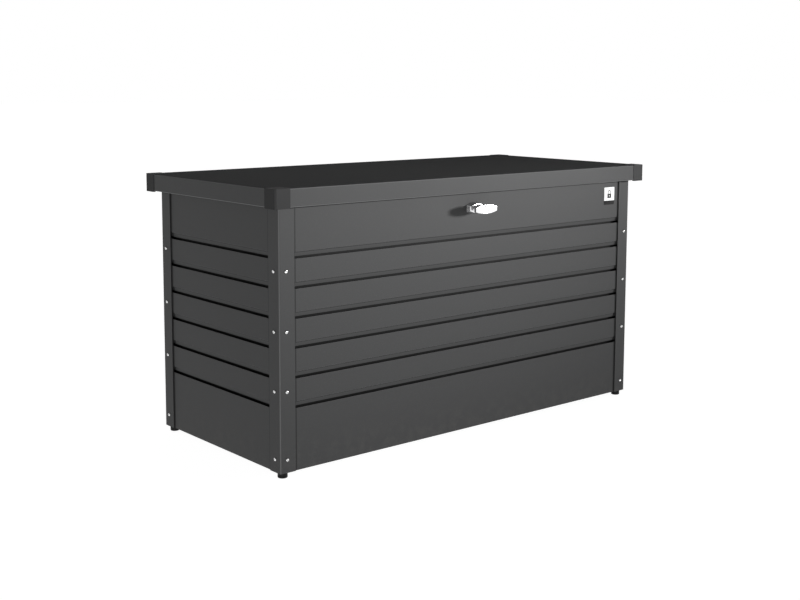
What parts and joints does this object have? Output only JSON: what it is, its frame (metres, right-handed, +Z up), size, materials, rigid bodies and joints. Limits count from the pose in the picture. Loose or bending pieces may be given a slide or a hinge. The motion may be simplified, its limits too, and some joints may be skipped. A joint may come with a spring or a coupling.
{
  "type": "deck storage box",
  "caption": "Free-standing sheet-metal garden storage chest with ribbed walls, corner posts, a hinged lid on gas struts and a T-handle bolt lock.",
  "frame": {"origin": "on the floor under the centre of the whole object's bounding box, handle included", "axes": "+X to the right seen from the front, +Y to the rear, +Z up; the front with the handle faces -Y"},
  "size_m": [1.34, 0.6334, 0.712],
  "materials": {
    "body_paint": "satin anthracite powder coat with a fine metallic texture",
    "lid_paint": "satin anthracite powder coat with a fine metallic texture",
    "hinge_paint": "anthracite powder coat on folded steel",
    "cap_plastic": "fine grained moulded plastic",
    "foot_plastic": "black moulded plastic",
    "chrome": "satin chrome",
    "stainless": "turned stainless steel",
    "zinc_steel": "zinc plated steel",
    "seal_rubber": "closed cell foam rubber",
    "label_film": null,
    "strut_black": "black lacquer",
    "chrome_rod": "hard chromed piston rod"
  },
  "bodies": {
    "chest": {"post_front_left": "body_paint", "post_front_right": "body_paint", "post_rear_left": "body_paint", "post_rear_right": "body_paint", "wall_front": "body_paint", "wall_rear": "body_paint", "wall_left": "body_paint", "wall_right": "body_paint", "floor_panel": "body_paint", "floor_beam_front": "body_paint", "floor_beam_rear": "body_paint", "foot_front_left": "foot_plastic", "foot_front_right": "foot_plastic", "foot_rear_left": "foot_plastic", "foot_rear_right": "foot_plastic", "top_rail_front": "body_paint", "top_rail_rear": "body_paint", "top_rail_left": "body_paint", "top_rail_right": "body_paint", "lid_seal": "seal_rubber", "hinge_body_leaf_left": "hinge_paint", "hinge_body_leaf_right": "hinge_paint", "hinge_pin_left": "stainless", "hinge_pin_right": "stainless", "post_screws": "stainless", "hinge_screws_body": "stainless", "strut_bracket_left": "zinc_steel", "strut_bracket_right": "zinc_steel", "escutcheon": "chrome", "lock_case": "zinc_steel", "bolt_guides": "zinc_steel", "label_plate": "label_film"},
    "lid": {"lid_top": "lid_paint", "lid_rim_front": "lid_paint", "lid_rim_rear": "lid_paint", "lid_rim_left": "lid_paint", "lid_rim_right": "lid_paint", "lid_cap_front_left": "cap_plastic", "lid_cap_front_right": "cap_plastic", "lid_cap_rear_left": "cap_plastic", "lid_cap_rear_right": "cap_plastic", "lid_stiffener_left": "lid_paint", "lid_stiffener_right": "lid_paint", "hinge_lid_leaf_left": "hinge_paint", "hinge_lid_leaf_right": "hinge_paint", "hinge_screws_lid": "stainless", "lid_strut_bracket_left": "zinc_steel", "lid_strut_bracket_right": "zinc_steel", "keeper_left": "zinc_steel", "keeper_right": "zinc_steel"},
    "handle": {"handle": "chrome", "pinion": "zinc_steel"},
    "lock_plug": {"lock_plug": "chrome"},
    "bolt_left": {"bolt_left": "zinc_steel"},
    "bolt_right": {"bolt_right": "zinc_steel"},
    "strut_cylinder_left": {"strut_cylinder_left": "strut_black"},
    "strut_rod_left": {"strut_rod_left": "chrome_rod"},
    "strut_cylinder_right": {"strut_cylinder_right": "strut_black"},
    "strut_rod_right": {"strut_rod_right": "chrome_rod"}
  },
  "joints": [
    {"name": "lid_hinge", "type": "hinge", "parent": "chest", "child": "lid", "pos_m": [0, 0.29325, 0.673], "axis": [-1, 0, 0], "range_deg": [0, 75]},
    {"name": "handle_turn", "type": "hinge", "parent": "chest", "child": "handle", "pos_m": [0, -0.29225, 0.622], "axis": [0, 1, 0], "range_deg": [0, 90]},
    {"name": "key_turn", "type": "hinge", "parent": "handle", "child": "lock_plug", "pos_m": [0, -0.31225, 0.622], "axis": [0, 1, 0], "range_deg": [0, 90]},
    {"name": "bolt_slide_left", "type": "slide", "parent": "chest", "child": "bolt_left", "axis": [-1, 0, 0], "range_m": [0, 0.0215]},
    {"name": "bolt_slide_right", "type": "slide", "parent": "chest", "child": "bolt_right", "axis": [1, 0, 0], "range_m": [0, 0.0215]},
    {"name": "strut_pivot_left", "type": "hinge", "parent": "chest", "child": "strut_cylinder_left", "pos_m": [-0.606, 0.23125, 0.438], "axis": [-1, 0, 0], "range_deg": [0, 3.5]},
    {"name": "strut_slide_left", "type": "slide", "parent": "strut_cylinder_left", "child": "strut_rod_left", "axis": [0, 0.0557, 0.9984], "range_m": [0, 0.066]},
    {"name": "strut_pivot_right", "type": "hinge", "parent": "chest", "child": "strut_cylinder_right", "pos_m": [0.606, 0.23125, 0.438], "axis": [-1, 0, 0], "range_deg": [0, 3.5]},
    {"name": "strut_slide_right", "type": "slide", "parent": "strut_cylinder_right", "child": "strut_rod_right", "axis": [0, 0.0557, 0.9984], "range_m": [0, 0.066]}
  ],
  "couplings": [
    {"joint": "bolt_slide_left", "follows": "handle_turn", "m_per_rad": 0.0135},
    {"joint": "bolt_slide_right", "follows": "handle_turn", "m_per_rad": 0.0135},
    {"joint": "strut_pivot_left", "follows": "lid_hinge", "ratio": 0.03879},
    {"joint": "strut_slide_left", "follows": "lid_hinge", "m_per_rad": 0.049176},
    {"joint": "strut_pivot_right", "follows": "lid_hinge", "ratio": 0.03879},
    {"joint": "strut_slide_right", "follows": "lid_hinge", "m_per_rad": 0.049176}
  ]
}
